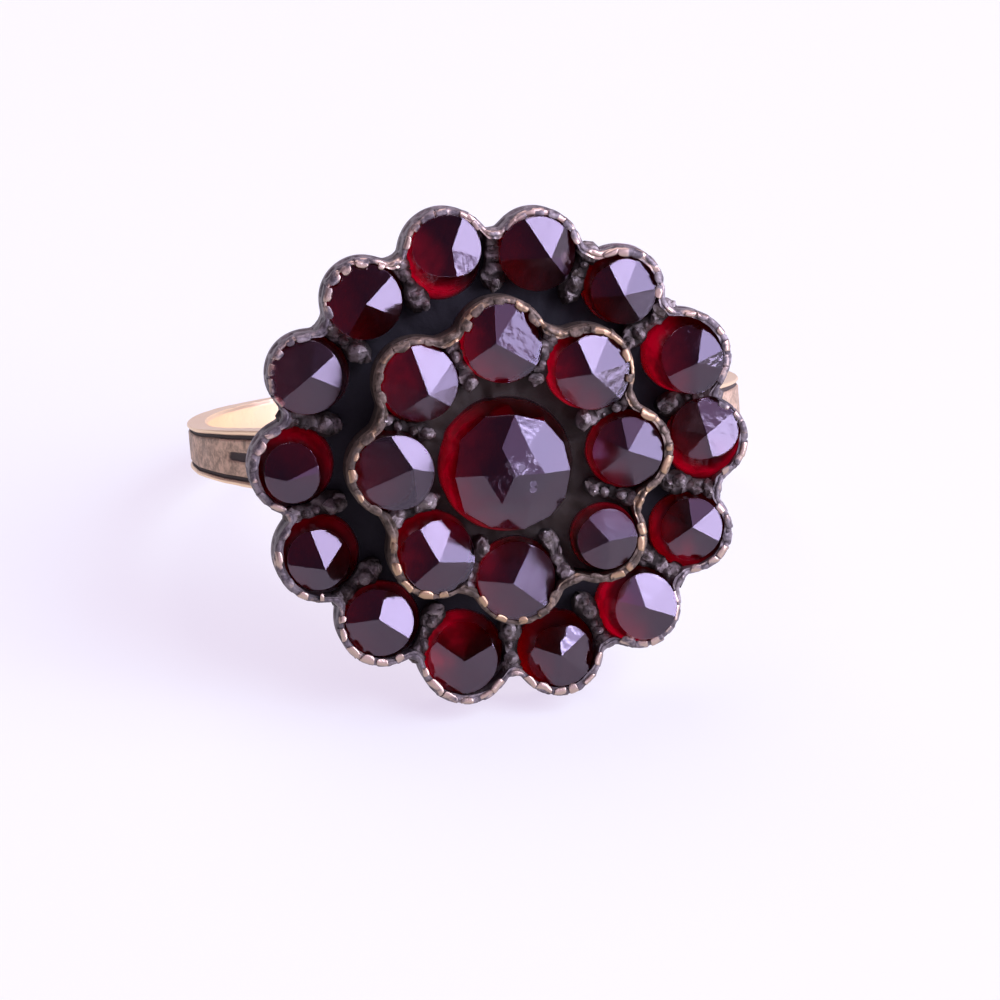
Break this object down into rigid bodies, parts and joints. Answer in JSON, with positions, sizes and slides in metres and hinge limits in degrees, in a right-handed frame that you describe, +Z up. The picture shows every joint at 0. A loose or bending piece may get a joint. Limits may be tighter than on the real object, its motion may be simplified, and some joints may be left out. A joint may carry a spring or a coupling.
{
  "type": "cluster ring",
  "caption": "Two-tier cluster ring: round pointed garnets in scalloped claw settings round a larger centre stone, on a plain tapered hoop; worn on a finger.",
  "frame": {"origin": "middle of the ring's bounding box, on the surface that it rests on", "axes": "+Z up from the surface, -Y the way the stones face, +X to the right of someone looking at the stones; the finger's axis leans 21 degrees from +Z towards +Y"},
  "size_m": [0.0196, 0.024, 0.016],
  "materials": {
    "gilt_brass": "worn gilt brass, tarnished dark in the recesses",
    "garnet": "polished dark red garnet with flat facets"
  },
  "bodies": {
    "root": {"ring_mount": "gilt_brass", "upper_setting": "gilt_brass", "tier_rivet": "gilt_brass", "centre_stone": "garnet", "inner_stone_1": "garnet", "inner_stone_2": "garnet", "inner_stone_3": "garnet", "inner_stone_4": "garnet", "inner_stone_5": "garnet", "inner_stone_6": "garnet", "inner_stone_7": "garnet", "inner_stone_8": "garnet", "outer_stone_1": "garnet", "outer_stone_2": "garnet", "outer_stone_3": "garnet", "outer_stone_4": "garnet", "outer_stone_5": "garnet", "outer_stone_6": "garnet", "outer_stone_7": "garnet", "outer_stone_8": "garnet", "outer_stone_9": "garnet", "outer_stone_10": "garnet", "outer_stone_11": "garnet", "outer_stone_12": "garnet", "outer_stone_13": "garnet", "outer_stone_14": "garnet"}
  },
  "joints": []
}
